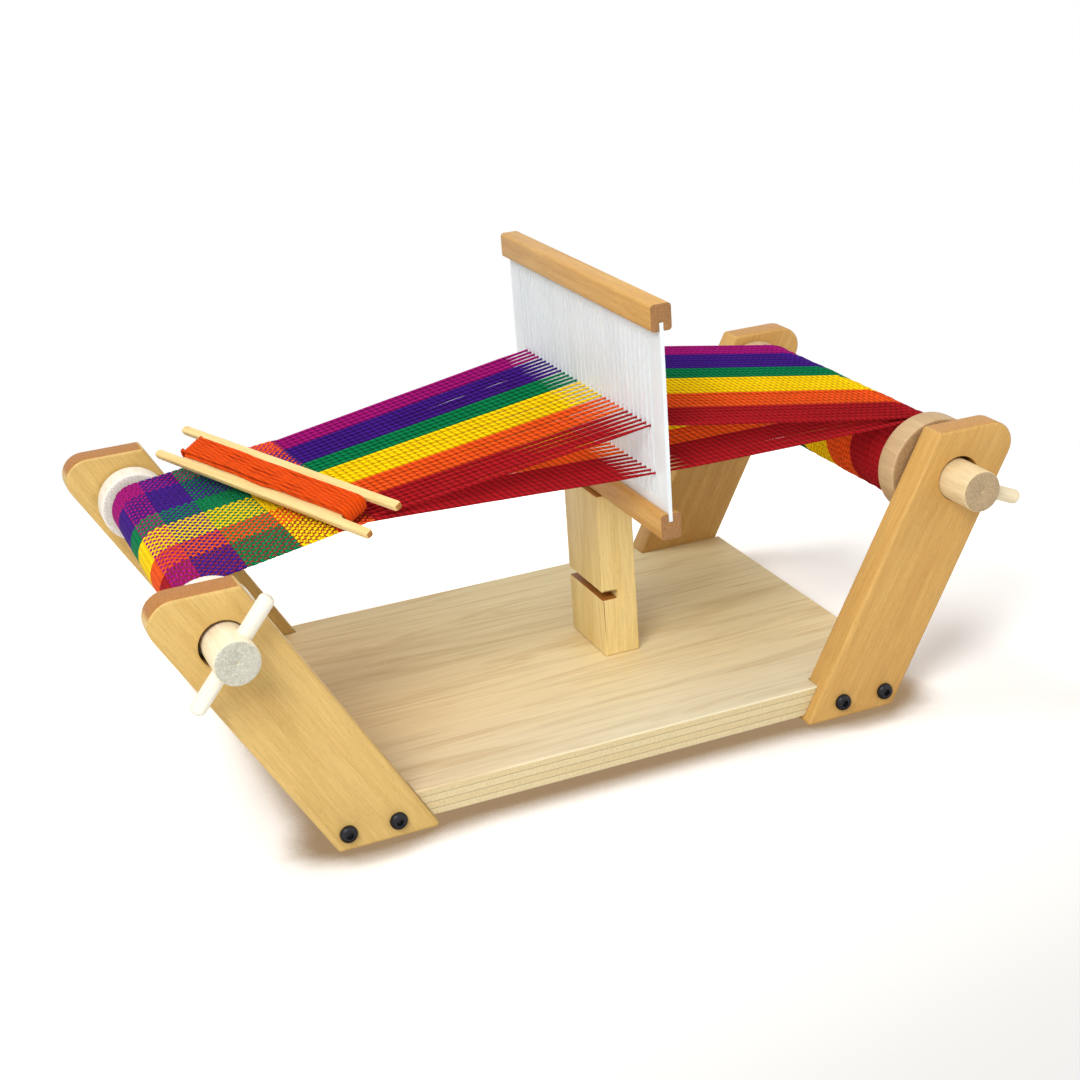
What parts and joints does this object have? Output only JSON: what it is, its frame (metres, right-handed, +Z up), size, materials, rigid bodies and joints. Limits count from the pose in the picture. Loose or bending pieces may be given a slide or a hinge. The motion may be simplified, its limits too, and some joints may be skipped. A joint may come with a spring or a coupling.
{
  "type": "rigid heddle table loom",
  "caption": "Small wooden table loom with splayed legs, two turning beams, a raised rigid heddle on a block, a striped warp, woven cloth and a wound stick shuttle.",
  "frame": {"origin": "centre of the loom's whole length and width, on the surface that it stands on", "axes": "+X from the weaver's cloth beam to the warp beam, -Y the side with the hand pegs, +Z up"},
  "size_m": [0.5294, 0.3066, 0.2736],
  "materials": {
    "board_ply": "sanded birch plywood, sealed",
    "leg_wood": "oiled maple",
    "block_wood": "oiled maple",
    "dowel_wood": "sanded birch dowel",
    "flange_wood": "sanded end-turned wood",
    "bar_wood": "oiled maple",
    "shuttle_wood": "sanded maple",
    "reed_plastic": "moulded translucent white",
    "bolt_black": "black oxide",
    "nut_zinc": "zinc plated",
    "screw_steel": "yellow zinc plated",
    "cloth_weave": "plain weave wool in six colours",
    "yarn_magenta": "wool yarn",
    "yarn_violet": "wool yarn",
    "yarn_green": "wool yarn",
    "yarn_yellow": "wool yarn",
    "yarn_orange": "wool yarn",
    "yarn_red": "wool yarn",
    "shuttle_weft": "wool yarn"
  },
  "bodies": {
    "frame": {"base_board": "board_ply", "front_right_leg": "leg_wood", "back_right_leg": "leg_wood", "front_left_leg": "leg_wood", "back_left_leg": "leg_wood", "front_right_bolt_1": "bolt_black", "front_right_bolt_2": "bolt_black", "back_right_bolt_1": "bolt_black", "back_right_bolt_2": "bolt_black", "front_left_bolt_1": "bolt_black", "front_left_bolt_2": "bolt_black", "back_left_bolt_1": "bolt_black", "back_left_bolt_2": "bolt_black", "front_right_nut_1": "nut_zinc", "front_right_nut_2": "nut_zinc", "back_right_nut_1": "nut_zinc", "back_right_nut_2": "nut_zinc", "front_left_nut_1": "nut_zinc", "front_left_nut_2": "nut_zinc", "back_left_nut_1": "nut_zinc", "back_left_nut_2": "nut_zinc", "heddle_block": "block_wood", "block_screw_1": "screw_steel", "block_screw_2": "screw_steel", "cloth_span": "cloth_weave", "warp_magenta": "yarn_magenta", "warp_violet": "yarn_violet", "warp_green": "yarn_green", "warp_yellow": "yarn_yellow", "warp_orange": "yarn_orange", "warp_red": "yarn_red"},
    "cloth_beam_body": {"cloth_beam": "dowel_wood", "cloth_beam_peg": "dowel_wood", "cloth_flange_right": "flange_wood", "cloth_flange_left": "flange_wood", "cloth_roll": "cloth_weave"},
    "warp_beam_body": {"warp_beam": "dowel_wood", "warp_beam_peg": "dowel_wood", "warp_flange_right": "flange_wood", "warp_flange_left": "flange_wood", "warp_roll_magenta": "yarn_magenta", "warp_roll_violet": "yarn_violet", "warp_roll_green": "yarn_green", "warp_roll_yellow": "yarn_yellow", "warp_roll_orange": "yarn_orange", "warp_roll_red": "yarn_red"},
    "heddle": {"heddle_lower_bar": "bar_wood", "heddle_upper_bar": "bar_wood", "heddle_reed": "reed_plastic"},
    "shuttle": {"shuttle_stick": "shuttle_wood", "shuttle_yarn": "shuttle_weft"}
  },
  "joints": [
    {"name": "warp_beam_turn", "type": "hinge", "parent": "frame", "child": "warp_beam_body", "pos_m": [0.2258, 0.01112, 0.1397], "axis": [0, 1, 0], "continuous": true},
    {"name": "cloth_beam_turn", "type": "hinge", "parent": "frame", "child": "cloth_beam_body", "pos_m": [-0.2258, 0.01112, 0.1397], "axis": [0, 1, 0], "continuous": true},
    {"name": "heddle_beat", "type": "slide", "parent": "frame", "child": "heddle", "axis": [1, 0, 0], "range_m": [-0.145, 0.006], "deforming": ["warp_magenta", "warp_violet", "warp_green", "warp_yellow", "warp_orange", "warp_red"]},
    {"name": "shuttle_lift", "type": "slide", "parent": "frame", "child": "shuttle", "axis": [0, 0, 1], "range_m": [0, 0.08]}
  ],
  "couplings": [
    {"joint": "cloth_beam_turn", "follows": "warp_beam_turn", "ratio": 1.6272}
  ]
}
